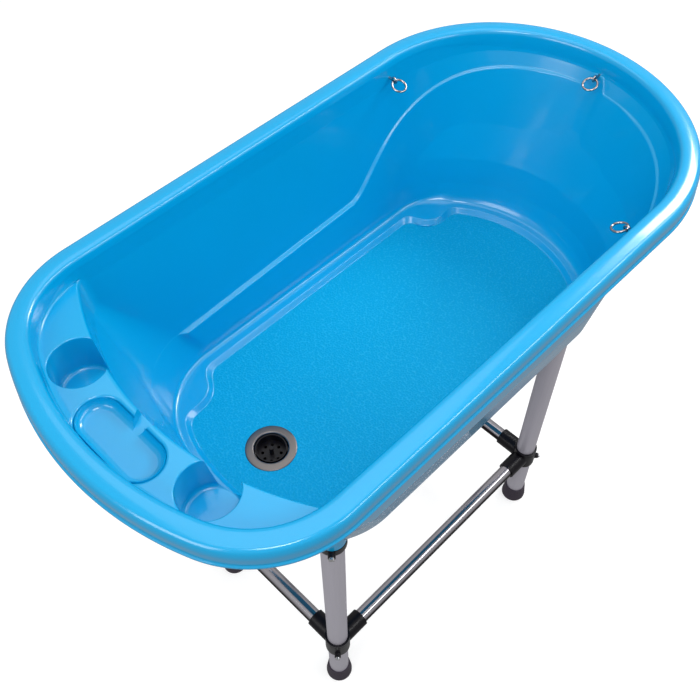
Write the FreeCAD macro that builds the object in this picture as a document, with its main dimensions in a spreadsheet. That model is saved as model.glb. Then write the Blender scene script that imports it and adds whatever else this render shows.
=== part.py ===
"""Pet grooming bath tub on a knock-down stand of four tube legs.

Frame: Z up from the floor, X along the tub (head end at +X, drain end at -X),
Y across it (left wall at +Y, right wall at -Y). The origin is on the floor,
under the middle of the tub's rim. Units are millimetres.
"""
import FreeCAD, Part
import math
import os

import Sketcher

doc = FreeCAD.newDocument("BathTub")
V = FreeCAD.Vector
UP = V(0, 0, 1)
NEAR = 0.01  # edges this close to a plane lie in it

# ---------------------------------------------------------------- driving dimensions

DIMENSIONS = {
    # plan outlines: half width, reach of each end from the middle, and the radii
    # of the two arcs that round each end (corner arc, then end arc)
    "rim_half": 330, "rim_head": 635, "rim_drain": 635,
    "rim_head_corner": 306, "rim_head_end": 343, "rim_drain_corner": 196, "rim_drain_end": 548,
    "basin_half": 288, "basin_head": 593, "basin_drain": 502,
    "basin_head_corner": 264, "basin_head_end": 301, "basin_drain_corner": 40,
    "basin_drain_end": 548,
    "waist_half": 280, "waist_head": 560, "waist_drain": 497.5,
    "waist_head_corner": 251, "waist_head_end": 294, "waist_drain_corner": 30,
    "waist_drain_end": 530,
    "ledge_half": 263, "ledge_head": 494, "ledge_drain": 452,
    "ledge_head_corner": 225, "ledge_head_end": 280, "ledge_drain_corner": 122,
    "ledge_drain_end": 500,
    "foot_half": 238, "foot_head": 464, "foot_drain": 424,
    "foot_head_corner": 120, "foot_head_end": 290, "foot_drain_corner": 166,
    "foot_drain_end": 460,
    "panel_half": 214, "panel_head": 440, "panel_drain": 405,
    "panel_head_corner": 96, "panel_head_end": 266, "panel_drain_corner": 150,
    "panel_drain_end": 438,
    # heights and depths below the top of the rim
    "rim_height": 1145, "skirt_depth": 43, "rim_skin": 5, "shelf_depth": 38,
    "ledge_depth": 256, "ledge_step": 8, "foot_depth": 362, "panel_depth": 372,
    "turn_depth": 369, "belly_depth": 379, "belly_bevel": 11,
    "socket_depth": 404, "cup_depth": 110, "tray_depth": 54,
    # wall sizes
    "rim_band": 42, "rim_round": 16, "inner_lip": 6,
    "wall_top": 6, "wall_foot": 5, "shelf_skin": 5,
    # raised pads in the floor over the leg sockets
    "head_pad_x": 353, "head_pad_side": 209, "head_pad_radius": 50,
    "drain_pad_x": 337, "drain_pad_side": 215, "drain_pad_radius": 58, "pad_overlap": 1,
    # shelf details
    "cup_radius": 46, "cup_wall": 5, "cup_back": 517, "cup_side": 150,
    "tray_back": 553, "tray_radius": 37, "tray_side": 46, "tray_wall": 5,
    "spout_width": 24, "spout_length": 40,
    # drain
    "drain_back": 302, "drain_hole": 34, "flange_radius": 47.5, "flange_thick": 2.5,
    "flange_bore": 31, "flange_neck": 33.5, "flange_neck_length": 38,
    "flange_lip": 27, "flange_lip_depth": 21, "flange_lip_thick": 2,
    "trap_radius": 38, "trap_height": 50, "trap_socket": 14, "trap_floor": 3,
    "spigot_radius": 17, "spigot_bore": 14, "spigot_length": 38, "gasket_thick": 3,
    "nut_radius": 47, "nut_height": 12,
    "nut_notches": 8, "nut_notch_wide": 6, "nut_notch_deep": 5,
    "basket_radius": 29, "basket_wall": 2, "basket_height": 20, "basket_gap": 0.3,
    "basket_knob": 4, "basket_holes": 8, "basket_hole": 3, "basket_hole_circle": 17,
    # stand
    "leg_drain": 337, "leg_head": 328, "leg_side": 191, "leg_radius": 22.5, "leg_wall": 2,
    "leg_bottom": 8, "leg_top": 768, "socket_fit": 0.3, "socket_wall": 4,
    "bar_height": 210, "bar_radius": 16.5, "bar_wall": 1.5, "bar_inset": 30,
    "foot_radius": 30, "foot_neck": 25.5, "foot_height": 50, "foot_base": 12, "foot_round": 7,
    "collar_height": 18, "collar_wall": 5, "collar_slit": 3, "collar_slit_length": 40,
    "lug_radius": 7, "lug_sunk": 2,
    "joint_bottom": 184, "joint_top": 240, "joint_wall": 5, "sleeve_wall": 4.5,
    "sleeve_reach": 72, "groove_height": 231, "groove_wide": 1.5, "groove_deep": 1,
    "screw_rise": 12,
    "screw_radius": 3, "screw_head_radius": 5.5, "screw_head_length": 4, "screw_reach": 36,
    "knob_sides": 8, "knob_radius": 9, "knob_length": 13, "knob_height": 753, "knob_angle": 30,
    "knob_stem": 7, "knob_stem_radius": 3, "thread_gap": 0.08,
    # tether eyes and rings
    "eye_depth": 40, "eye_major": 5.5, "eye_wire": 2, "eye_gap_head": 17, "eye_gap_side": 14,
    "eye_left_x": 303, "eye_right_x": 282, "shank_radius": 2.5, "shank_length": 27,
    "ring_major": 14, "ring_wire": 2.25, "ring_clearance": 0.4, "ring_swing": 70,
    "washer_radius": 8, "washer_thick": 1.5,
    "nut_across": 10, "nut_thick": 5,
}

sheet = doc.addObject("Spreadsheet::Sheet", "Dims")
for row, (alias, value) in enumerate(DIMENSIONS.items(), start=1):
    sheet.set(f"A{row}", alias)
    sheet.set(f"B{row}", str(value))
    sheet.setAlias(f"B{row}", alias)
doc.recompute()


def dim(alias):
    """The number held in the sheet under this alias."""
    return float(sheet.get(alias))


# ---------------------------------------------------------------- document helpers

def bind(obj, **expressions):
    """Tie properties to the sheet: Radius="leg_radius - leg_wall"."""
    for prop, expression in expressions.items():
        obj.setExpression(prop.replace("__", "."), tied(expression))


def tied(expression):
    """Put the sheet's name before every alias in an expression."""
    words = expression.replace("(", "( ").replace(")", " )").split()
    return " ".join(f"Dims.{word}" if word in DIMENSIONS else word for word in words)


def put(obj, x="0", y="0", z="0", turn=None):
    """Place an object at sheet expressions; turn is (axis, angle in degrees)."""
    if turn:
        obj.Placement = FreeCAD.Placement(V(0, 0, 0), FreeCAD.Rotation(*turn))
    bind(obj, Placement__Base__x=x, Placement__Base__y=y, Placement__Base__z=z)
    return obj


def cylinder(name, radius, height, **place):
    obj = doc.addObject("Part::Cylinder", name)
    bind(obj, Radius=radius, Height=height)
    return put(obj, **place)


def box(name, length, width, height, **place):
    obj = doc.addObject("Part::Box", name)
    bind(obj, Length=length, Width=width, Height=height)
    return put(obj, **place)


def torus(name, major, minor, **place):
    obj = doc.addObject("Part::Torus", name)
    bind(obj, Radius1=major, Radius2=minor)
    return put(obj, **place)


def fuse(name, *shapes):
    obj = doc.addObject("Part::MultiFuse", name)
    obj.Shapes = list(shapes)
    return obj


def common(name, *shapes):
    obj = doc.addObject("Part::MultiCommon", name)
    obj.Shapes = list(shapes)
    return obj


def cut(name, base, *tools):
    tool = tools[0] if len(tools) == 1 else fuse(name + "_tools", *tools)
    obj = doc.addObject("Part::Cut", name)
    obj.Base = base
    obj.Tool = tool
    return obj


def group(name, *shapes):
    """Separate solids kept together as one node."""
    obj = doc.addObject("Part::Compound", name)
    obj.Links = list(shapes)
    return obj


# ---------------------------------------------------------------- rounded plan outlines

def end_cap(half, reach, corner, end):
    """Centres and joint of the two arcs that round one end (towards +X)."""
    end_x = reach - end
    corner_x = end_x + math.sqrt((end - corner) ** 2 - (half - corner) ** 2)
    angle = math.atan2(half - corner, corner_x - end_x)
    return corner_x, end_x, angle


def outline(name, family, depth, grow=""):
    """A sketch of one closed plan outline: two sides, and three arcs at each end.

    family names the seven cells that drive it. grow is a sheet expression that
    moves the whole outline outwards by the same distance all round.
    """
    sketch = doc.addObject("Sketcher::SketchObject", name)
    extra = sum(sign * dim(word) for sign, word in signed_words(grow))
    sizes = {key: dim(f"{family}_{key}") + extra
             for key in ("half", "head", "drain", "head_corner", "head_end",
                         "drain_corner", "drain_end")}
    half = sizes["half"]
    arcs = []
    side_ends = {}
    for end, way in (("head", 1), ("drain", -1)):
        corner, arc = sizes[f"{end}_corner"], sizes[f"{end}_end"]
        corner_x, end_x, angle = end_cap(half, sizes[end], corner, arc)
        side_ends[end] = way * corner_x
        start = 0 if way > 0 else math.pi
        for centre, radius, first, last in (
                (V(way * corner_x, half - corner, 0), corner, angle, math.pi / 2),
                (V(way * end_x, 0, 0), arc, -angle, angle),
                (V(way * corner_x, corner - half, 0), corner, -math.pi / 2, -angle)):
            low, high = (first, last) if way > 0 else (start - last, start - first)
            arcs.append(Part.ArcOfCircle(Part.Circle(centre, UP, radius), low, high))
    left = Part.LineSegment(V(side_ends["head"], half, 0), V(side_ends["drain"], half, 0))
    right = Part.LineSegment(V(side_ends["drain"], -half, 0), V(side_ends["head"], -half, 0))
    # going round: right side, head arcs from right to left, left side, drain arcs
    ring = [right, arcs[2], arcs[1], arcs[0], left, arcs[3], arcs[4], arcs[5]]
    for piece in ring:
        sketch.addGeometry(piece, False)
    for index in range(len(ring)):
        following = (index + 1) % len(ring)
        sketch.addConstraint(Sketcher.Constraint("Tangent", index, 2, following, 1))
    for side in (0, 4):
        sketch.addConstraint(Sketcher.Constraint("Horizontal", side))
    for end_arc in (2, 6):
        sketch.addConstraint(Sketcher.Constraint("PointOnObject", end_arc, 3, -1))
    for first, second in ((1, 3), (5, 7)):
        sketch.addConstraint(Sketcher.Constraint("Equal", first, second))
    more = f" + {grow}" if grow else ""
    for label, geometry in (("head_corner", 1), ("head_end", 2),
                            ("drain_corner", 5), ("drain_end", 6)):
        driven(sketch, label, Sketcher.Constraint("Radius", geometry, sizes[label]),
               f"{family}_{label}{more}")
    driven(sketch, "left", Sketcher.Constraint("DistanceY", -1, 1, 4, 1, half),
           f"{family}_half{more}")
    driven(sketch, "right", Sketcher.Constraint("DistanceY", 0, 1, -1, 1, half),
           f"{family}_half{more}")
    driven(sketch, "head", Sketcher.Constraint("DistanceX", -1, 1, 2, 3,
                                               sizes["head"] - sizes["head_end"]),
           f"{family}_head - {family}_head_end")
    driven(sketch, "drain", Sketcher.Constraint("DistanceX", 6, 3, -1, 1,
                                                sizes["drain"] - sizes["drain_end"]),
           f"{family}_drain - {family}_drain_end")
    return put(sketch, z=f"rim_height - ({depth})")


def signed_words(expression):
    """Split "a - b" into signed aliases."""
    sign = 1
    for word in expression.split():
        if word in "+-":
            sign = 1 if word == "+" else -1
        else:
            yield sign, word
            sign = 1


def driven(sketch, label, constraint, expression):
    """Add a dimension to a sketch and tie it to the sheet."""
    index = sketch.addConstraint(constraint)
    sketch.renameConstraint(index, label)
    sketch.setExpression(f"Constraints.{label}", tied(expression))


def prism(name, sketch, height):
    """A sketch pulled straight down by a sheet expression."""
    obj = doc.addObject("Part::Extrusion", name)
    obj.Base = sketch
    obj.DirMode = "Custom"
    obj.Dir = V(0, 0, -1)
    obj.Solid = True
    bind(obj, LengthFwd=height)
    return obj


def loft(name, *sketches):
    obj = doc.addObject("Part::Loft", name)
    obj.Sections = list(sketches)
    obj.Solid = True
    obj.Ruled = True
    return obj


def rounded_edges(name, base, radius, chosen):
    """Round the edges whose bounding box passes the test."""
    doc.recompute()
    obj = doc.addObject("Part::Fillet", name)
    obj.Base = base
    obj.Edges = [(number, dim(radius), dim(radius))
                 for number, edge in enumerate(base.Shape.Edges, start=1)
                 if chosen(edge.BoundBox)]
    return obj


# ---------------------------------------------------------------- tub

# each leg: which end of the tub it stands at, and which side
LEGS = {"drain_left": (-1, 1), "drain_right": (-1, -1),
        "head_left": (1, 1), "head_right": (1, -1)}


def leg_spot(leg):
    """Sheet expressions for a leg's X and Y."""
    end, side = LEGS[leg]
    x = "leg_head" if end > 0 else "0 - leg_drain"
    y = "leg_side" if side > 0 else "0 - leg_side"
    return {"x": x, "y": y}


def make_rim():
    """The rolled rim: a rounded band with a thin skirt, open underneath."""
    outside = outline("rim_outline", "rim", "0")
    block = prism("rim_block", outside, "skirt_depth")
    rounded = rounded_edges("rim_rounded", block, "rim_round",
                            lambda box: box.ZMin > dim("rim_height") - NEAR)
    under = outline("rim_hollow_outline", "rim", "rim_skin", grow="- rim_skin")
    hollow = prism("rim_hollow", under, "skirt_depth")
    return cut("rim_shell", rounded, hollow)


def make_tub():
    rim = make_rim()
    inner_wall = prism("inner_wall", outline("inner_wall_outline", "rim", "0",
                                             grow="inner_lip - rim_band"), "skirt_depth")
    inner_top = common("inner_wall_trimmed", inner_wall, doc.rim_rounded)
    shelf = prism("shelf_plate", outline("shelf_outline", "rim", "shelf_depth",
                                         grow="inner_lip - rim_band"), "shelf_skin")
    belly = loft("belly",
                 outline("belly_top", "basin", "shelf_depth", grow="wall_top"),
                 outline("belly_waist", "waist", "cup_depth", grow="wall_top"),
                 outline("belly_ledge", "ledge", "ledge_depth + shelf_skin", grow="wall_foot"),
                 outline("belly_turn", "foot", "turn_depth", grow="wall_foot"),
                 outline("belly_bottom", "foot", "belly_depth", grow="wall_foot - belly_bevel"))
    solids = [rim, inner_top, shelf, belly]
    hollows = [
        prism("mouth", outline("mouth_outline", "rim", "0", grow="- rim_band"), "shelf_depth"),
        loft("basin_upper", outline("basin_top", "basin", "shelf_depth"),
             outline("basin_waist", "waist", "cup_depth"),
             outline("basin_ledge", "ledge", "ledge_depth")),
        loft("basin_lower", outline("basin_step", "ledge", "ledge_depth", grow="- ledge_step"),
             outline("basin_foot", "foot", "foot_depth")),
    ]
    # the recessed floor panel steps round the four leg sockets
    panel = prism("panel", outline("panel_outline", "panel", "foot_depth"),
                  "panel_depth - foot_depth")
    pads = []
    for leg, (end, side) in LEGS.items():
        pad = "head_pad" if end > 0 else "drain_pad"
        pads.append(cylinder(f"socket_pad_{leg}", f"{pad}_radius",
                             "panel_depth - foot_depth + 2 * pad_overlap",
                             x=f"{pad}_x * {end}", y=f"{pad}_side * {side}",
                             z="rim_height - panel_depth - pad_overlap"))
    hollows.append(cut("panel_recess", panel, *pads))
    for leg in LEGS:
        solids.append(cylinder(f"socket_boss_{leg}", "leg_radius + socket_fit + socket_wall",
                               "socket_depth - foot_depth", z="rim_height - socket_depth",
                               **leg_spot(leg)))
        hollows.append(cylinder(f"socket_bore_{leg}", "leg_radius + socket_fit",
                                "leg_top - rim_height + socket_depth + 1",
                                z="rim_height - socket_depth - 1", **leg_spot(leg)))
    # two cup recesses, open towards the basin
    for side, sign in (("left", ""), ("right", "0 - ")):
        place = {"x": "0 - cup_back", "y": f"{sign}cup_side"}
        solids.append(cylinder(f"cup_shell_{side}", "cup_radius + cup_wall",
                               "cup_depth + cup_wall - shelf_depth",
                               z="rim_height - cup_depth - cup_wall", **place))
        hollows.append(cylinder(f"cup_{side}", "cup_radius", "cup_depth",
                                z="rim_height - cup_depth", **place))
    # soap tray: a long round-ended bowl with a spout in its front lip
    solids.append(tray_block("tray_shell", "tray_radius + tray_wall", "tray_depth + tray_wall"))
    hollows.append(tray_block("tray_bowl", "tray_radius", "tray_depth"))
    hollows.append(box("tray_spout", "spout_length", "spout_width", "tray_depth",
                       x="0 - tray_back + tray_radius - spout_length / 2",
                       y="0 - spout_width / 2", z="rim_height - tray_depth"))
    hollows.append(cylinder("drain_opening", "drain_hole", "belly_depth - foot_depth",
                            x="0 - drain_back", z="rim_height - belly_depth"))
    for eye in EYES:
        hollows.append(along_wall(cylinder(f"eye_hole_{eye}", "shank_radius",
                                           "shank_length"), eye, "eye_major"))
    for leg in LEGS:
        bore = cylinder(f"knob_bore_{leg}", "knob_stem_radius + thread_gap", "2 * socket_wall")
        hollows.append(on_knob_axis(bore, leg, "leg_radius"))
    return cut("tub_shell", fuse("tub_solid", *solids), *hollows)


def tray_block(name, radius, depth):
    """A block with round ends, from the shelf down to the tray's floor."""
    height = f"{depth} - shelf_depth + 1"
    bottom = f"rim_height - ({depth})"
    ends = [cylinder(f"{name}_{side}", radius, height, x="0 - tray_back",
                     y=f"{sign}tray_side", z=bottom)
            for side, sign in (("left", ""), ("right", "0 - "))]
    middle = box(f"{name}_middle", f"2 * ({radius})", "2 * tray_side", height,
                 x=f"0 - tray_back - ({radius})", y="0 - tray_side", z=bottom)
    return fuse(name, middle, *ends)


# ---------------------------------------------------------------- tether eyes

# each eye: X and Y of its centre, the turn that points +Z out through the wall, the
# turn that lays a ring flat against the wall, and how far it stands from the wall
EYES = {
    "head": ("rim_head - rim_band - eye_gap_head", "0", (V(0, 1, 0), 90), (V(0, 1, 0), 90),
             "eye_gap_head"),
    "left": ("eye_left_x", "rim_half - rim_band - eye_gap_side", (V(1, 0, 0), -90),
             (V(-1, 0, 0), 90), "eye_gap_side"),
    "right": ("eye_right_x", "0 - rim_half + rim_band + eye_gap_side", (V(1, 0, 0), 90),
              (V(1, 0, 0), 90), "eye_gap_side"),
}


def along_wall(obj, eye, distance, drop="0", turn=None):
    """Put an object on the eye's own axis, this far out towards the wall."""
    x, y, facing = EYES[eye][:3]
    outward = {"head": (f"{x} + {distance}", y), "left": (x, f"{y} + {distance}"),
               "right": (x, f"{y} - ({distance})")}[eye]
    return put(obj, x=outward[0], y=outward[1], z=f"rim_height - eye_depth - ({drop})",
               turn=turn or facing)


def make_tethers():
    washers = []
    nuts = []
    pivot = "eye_major - eye_wire - ring_wire - ring_clearance"
    for eye, (x, y, _, (hinge, flat), gap) in EYES.items():
        # the eye stands upright, in the plane of the shank
        upright = (V(1, 0, 0), 90) if eye == "head" else (V(0, 1, 0), 90)
        loop = torus(f"eye_loop_{eye}", "eye_major", "eye_wire", x=x, y=y,
                     z="rim_height - eye_depth", turn=upright)
        shank = along_wall(cylinder(f"eye_shank_{eye}", "shank_radius", "shank_length"),
                           eye, "eye_major")
        fuse(f"tether_bolt_{eye}", loop, shank)
        # the ring stands out from the wall, turned in the eye from where it would hang
        ring = torus(f"tether_ring_{eye}", "ring_major", "ring_wire")
        along_wall(ring, eye, "0 - ring_major * sin( ring_swing * 1 deg )",
                   drop=f"{pivot} + ring_major * cos( ring_swing * 1 deg )",
                   turn=(hinge, flat + dim("ring_swing")))
        wall = f"{gap} + inner_lip"
        disc = along_wall(cylinder(f"washer_disc_{eye}", "washer_radius", "washer_thick"),
                          eye, wall)
        hole = along_wall(cylinder(f"washer_hole_{eye}", "shank_radius", "washer_thick"),
                          eye, wall)
        washers.append(cut(f"washer_{eye}", disc, hole))
        hexagon = doc.addObject("Part::Prism", f"nut_hexagon_{eye}")
        hexagon.Polygon = 6
        bind(hexagon, Circumradius="nut_across / 2 / cos(30 deg)", Height="nut_thick")
        along_wall(hexagon, eye, f"{wall} + washer_thick")
        bore = along_wall(cylinder(f"nut_bore_{eye}", "shank_radius", "nut_thick"),
                          eye, f"{wall} + washer_thick")
        nuts.append(cut(f"nut_{eye}", hexagon, bore))
    group("tether_washers", *washers)
    group("tether_nuts", *nuts)


# ---------------------------------------------------------------- drain

def bored(name, radius, bore, height, bottom):
    """A plain ring about the drain's axis."""
    at = {"x": "0 - drain_back", "z": bottom}
    return cut(name, cylinder(f"{name}_disc", radius, height, **at),
               cylinder(f"{name}_bore", bore, height, **at))


def even_turns(count):
    """Angles in degrees that share a full turn evenly; count is an alias."""
    number = int(dim(count))
    return [360 / number * index for index in range(number)]


def make_drain():
    at = {"x": "0 - drain_back"}
    panel = "rim_height - panel_depth"
    under = "rim_height - belly_depth"
    # flange: a flat ring on the floor, a threaded neck, and a lip that carries the basket
    fuse("drain_flange",
         bored("flange_ring", "flange_radius", "flange_bore", "flange_thick", panel),
         bored("flange_tube", "flange_neck", "flange_bore", "flange_neck_length",
               f"{panel} - flange_neck_length"),
         bored("flange_shoulder", "flange_neck", "flange_lip", "flange_lip_thick",
               f"{panel} - flange_lip_depth"))
    bored("drain_gasket", "nut_radius", "flange_neck", "gasket_thick", f"{under} - gasket_thick")
    nut_bottom = f"{under} - gasket_thick - nut_height"
    notches = []
    for angle in even_turns("nut_notches"):
        index = len(notches)
        notches.append(box(f"nut_notch_{index}", "2 * nut_notch_deep", "nut_notch_wide",
                           "nut_height", z=nut_bottom, turn=(UP, angle),
                           x=f"0 - drain_back + (nut_radius - nut_notch_deep) * cos({angle} deg)"
                             f" + nut_notch_wide / 2 * sin({angle} deg)",
                           y=f"(nut_radius - nut_notch_deep) * sin({angle} deg)"
                             f" - nut_notch_wide / 2 * cos({angle} deg)"))
    cut("drain_nut", bored("back_nut", "nut_radius", "flange_neck", "nut_height", nut_bottom),
        *notches)
    # body: a cup pushed over the neck, with an outlet spigot below
    neck_bottom = f"{panel} - flange_neck_length"
    body_bottom = f"{neck_bottom} + trap_socket - trap_height"
    shell = cylinder("trap_shell", "trap_radius", "trap_height", z=body_bottom, **at)
    socket = cylinder("trap_socket_bore", "flange_neck", "trap_socket", z=neck_bottom, **at)
    hollow = cylinder("trap_hollow", "flange_bore", "trap_height - trap_floor",
                      z=f"{body_bottom} + trap_floor", **at)
    spigot = cylinder("spigot", "spigot_radius", "spigot_length",
                      z=f"{body_bottom} - spigot_length", **at)
    outlet = cylinder("spigot_hole", "spigot_bore", "spigot_length + trap_floor",
                      z=f"{body_bottom} - spigot_length", **at)
    cut("drain_body", fuse("drain_body_solid", shell, spigot), hollow, socket, outlet)
    basket_bottom = f"{panel} - flange_lip_depth + flange_lip_thick + basket_gap"
    holes = [cylinder("basket_inside", "basket_radius - basket_wall", "basket_height",
                      z=f"{basket_bottom} + basket_wall", **at)]
    for angle in even_turns("basket_holes"):
        holes.append(cylinder(f"basket_hole_{len(holes)}", "basket_hole", "2 * basket_wall",
                              x=f"0 - drain_back + basket_hole_circle * cos({angle} deg)",
                              y=f"basket_hole_circle * sin({angle} deg)",
                              z=f"{basket_bottom} - basket_wall / 2"))
    basket = cylinder("basket_shell", "basket_radius", "basket_height", z=basket_bottom, **at)
    post = cylinder("basket_post", "basket_knob", "basket_height", z=basket_bottom, **at)
    fuse("drain_basket", cut("basket_cup", basket, *holes), post)


# ---------------------------------------------------------------- stand

def make_leg(leg):
    spot = leg_spot(leg)
    outer = cylinder(f"leg_outer_{leg}", "leg_radius", "leg_top - leg_bottom", z="leg_bottom",
                     **spot)
    inner = cylinder(f"leg_inner_{leg}", "leg_radius - leg_wall", "leg_top - leg_bottom",
                     z="leg_bottom", **spot)
    cut(f"leg_{leg}", outer, inner)


def make_foot(leg):
    """A rubber boot: round base, tapering neck, and a blind hole for the leg."""
    spot = leg_spot(leg)
    cone = doc.addObject("Part::Cone", f"foot_cone_{leg}")
    bind(cone, Radius1="foot_radius", Radius2="foot_neck", Height="foot_height - foot_base")
    put(cone, z="foot_base", **spot)
    base = cylinder(f"foot_base_{leg}", "foot_radius", "foot_base", **spot)
    rounded = rounded_edges(f"foot_round_{leg}", base, "foot_round", lambda box: box.ZMax < NEAR)
    hole = cylinder(f"foot_hole_{leg}", "leg_radius", "foot_height", z="leg_bottom", **spot)
    cut(f"foot_{leg}", fuse(f"foot_solid_{leg}", cone, rounded), hole)


def outward(leg, distance):
    """X and Y expressions at a distance from the leg, diagonally out from the stand."""
    spot = leg_spot(leg)
    end, side = LEGS[leg]
    return {"x": f"{spot['x']} + {end} * ({distance}) * cos(45 deg)",
            "y": f"{spot['y']} + {side} * ({distance}) * cos(45 deg)"}


def outward_turn(leg):
    """The turn that points +Z diagonally out from the stand, level with the floor."""
    end, side = LEGS[leg]
    return V(-side, end, 0), 90


def radial_screw(name, leg, height):
    """A screw along the diagonal: thread into the ring, head outside the lug."""
    turn = outward_turn(leg)
    thread = cylinder(f"{name}_thread", "screw_radius", "screw_reach - leg_radius",
                      z=height, turn=turn, **outward(leg, "leg_radius"))
    head = cylinder(f"{name}_head", "screw_head_radius", "screw_head_length",
                    z=height, turn=turn, **outward(leg, "screw_reach"))
    return fuse(name, thread, head)


def lug(name, leg, height):
    """A round boss for the screw, standing out of a ring, and its bored hole."""
    turn = outward_turn(leg)
    solid = cylinder(name, "lug_radius", "screw_reach - leg_radius - lug_sunk", z=height,
                     turn=turn, **outward(leg, "leg_radius + lug_sunk"))
    hole = cylinder(f"{name}_bore", "screw_radius", "screw_reach", z=height, turn=turn,
                    **outward(leg, "0"))
    return solid, hole


def make_collar(leg):
    """The split ring that grips the leg just below the tub's socket."""
    spot = leg_spot(leg)
    bottom = "rim_height - socket_depth - collar_height"
    middle = "rim_height - socket_depth - collar_height / 2"
    ring = cylinder(f"collar_ring_{leg}", "leg_radius + collar_wall", "collar_height",
                    z=bottom, **spot)
    bore = cylinder(f"collar_bore_{leg}", "leg_radius", "collar_height", z=bottom, **spot)
    boss, hole = lug(f"collar_lug_{leg}", leg, middle)
    end, side = LEGS[leg]
    slit = box(f"collar_slit_{leg}", "collar_slit_length", "collar_slit", "collar_height", z=bottom,
               turn=(UP, math.degrees(math.atan2(-side, -end))),
               x=f"{spot['x']} + {side} * collar_slit / 2 * sin(45 deg) * {end * side}",
               y=f"{spot['y']} - {end} * collar_slit / 2 * cos(45 deg) * {end * side}")
    cut(f"collar_{leg}", fuse(f"collar_solid_{leg}", ring, boss), bore, hole, slit)
    return radial_screw(f"collar_screw_{leg}", leg, middle)


def make_corner(leg):
    """A corner joint: a ring round the leg and two level sleeves for the cross bars."""
    spot = leg_spot(leg)
    end, side = LEGS[leg]
    ring = cylinder(f"corner_ring_{leg}", "leg_radius + joint_wall", "joint_top - joint_bottom",
                    z="joint_bottom", **spot)
    along_x = cylinder(f"corner_sleeve_x_{leg}", "bar_radius + sleeve_wall", "sleeve_reach",
                       z="bar_height", turn=(V(0, 1, 0), -90 * end), **spot)
    along_y = cylinder(f"corner_sleeve_y_{leg}", "bar_radius + sleeve_wall", "sleeve_reach",
                       z="bar_height", turn=(V(1, 0, 0), 90 * side), **spot)
    boss, hole = lug(f"corner_lug_{leg}", leg, "joint_bottom + screw_rise")
    leg_bore = cylinder(f"corner_bore_{leg}", "leg_radius", "joint_top - joint_bottom",
                        z="joint_bottom", **spot)
    bores = []
    for name, turn, x, y in (
            ("x", (V(0, 1, 0), -90 * end), f"{spot['x']} - {end} * bar_inset", spot["y"]),
            ("y", (V(1, 0, 0), 90 * side), spot["x"], f"{spot['y']} - {side} * bar_inset")):
        bores.append(cylinder(f"corner_socket_{name}_{leg}", "bar_radius", "sleeve_reach",
                              z="bar_height", turn=turn, x=x, y=y))
    groove = cut(f"corner_groove_{leg}",
                 cylinder(f"groove_outer_{leg}", "leg_radius + joint_wall + groove_deep",
                          "groove_wide", z="groove_height", **spot),
                 cylinder(f"groove_inner_{leg}", "leg_radius + joint_wall - groove_deep",
                          "groove_wide", z="groove_height", **spot))
    cut(f"corner_{leg}", fuse(f"corner_solid_{leg}", ring, along_x, along_y, boss),
        leg_bore, hole, groove, *bores)
    return radial_screw(f"corner_screw_{leg}", leg, "joint_bottom + screw_rise")


def tube(name, length, turn, x, y):
    """A cross bar: a level tube of this length."""
    outer = cylinder(f"{name}_outer", "bar_radius", length, z="bar_height", turn=turn, x=x, y=y)
    inner = cylinder(f"{name}_inner", "bar_radius - bar_wall", length, z="bar_height",
                     turn=turn, x=x, y=y)
    return cut(name, outer, inner)


def make_bars():
    for side, sign in (("left", ""), ("right", "0 - ")):
        tube(f"bar_long_{side}", "leg_head + leg_drain - 2 * bar_inset", (V(0, 1, 0), 90),
             "bar_inset - leg_drain", f"{sign}leg_side")
    for end, x in (("drain", "0 - leg_drain"), ("head", "leg_head")):
        tube(f"bar_short_{end}", "2 * leg_side - 2 * bar_inset", (V(1, 0, 0), -90), x,
             "bar_inset - leg_side")


def on_knob_axis(obj, leg, start):
    """Put an object on a thumb screw's axis, this distance out from the leg's axis."""
    spot = leg_spot(leg)
    _, side = LEGS[leg]
    swing = FreeCAD.Rotation(UP, side * dim("knob_angle"))
    obj.Placement.Rotation = swing * FreeCAD.Rotation(V(0, 1, 0), 90)
    return put(obj, z="knob_height", x=f"{spot['x']} + ({start}) * cos(knob_angle * 1 deg)",
               y=f"{spot['y']} + {side} * ({start}) * sin(knob_angle * 1 deg)")


def make_knob(leg):
    """The thumb screw that locks the leg in the tub's socket: a stem and an eight-sided grip."""
    stem_start = "leg_radius + socket_fit"
    stem = on_knob_axis(cylinder(f"knob_stem_{leg}", "knob_stem_radius", "knob_stem + 1"),
                        leg, stem_start)
    grip = doc.addObject("Part::Prism", f"knob_grip_{leg}")
    grip.Polygon = int(dim("knob_sides"))
    bind(grip, Circumradius="knob_radius", Height="knob_length")
    on_knob_axis(grip, leg, f"{stem_start} + knob_stem")
    fuse(f"socket_knob_{leg}", stem, grip)


def make_stand():
    collar_screws = []
    corner_screws = []
    for leg in LEGS:
        make_leg(leg)
        make_foot(leg)
        make_knob(leg)
        collar_screws.append(make_collar(leg))
        corner_screws.append(make_corner(leg))
    group("collar_screws", *collar_screws)
    group("corner_screws", *corner_screws)
    make_bars()


# ---------------------------------------------------------------- build, check and write

NODES = ["tub_shell", "drain_flange", "drain_gasket", "drain_nut", "drain_body", "drain_basket",
         "tether_washers", "tether_nuts", "collar_screws", "corner_screws",
         "bar_long_left", "bar_long_right", "bar_short_drain", "bar_short_head"]
NODES += [f"tether_{piece}_{eye}" for piece in ("bolt", "ring") for eye in EYES]
NODES += [f"{piece}_{leg}" for piece in ("leg", "foot", "collar", "corner", "socket_knob")
          for leg in LEGS]

make_tub()
make_drain()
make_tethers()
make_stand()
doc.recompute()

for obj in doc.Objects:
    if "Invalid" in obj.State or "Error" in obj.State:
        raise SystemExit(f"{obj.Label} failed: {obj.State}")

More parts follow.
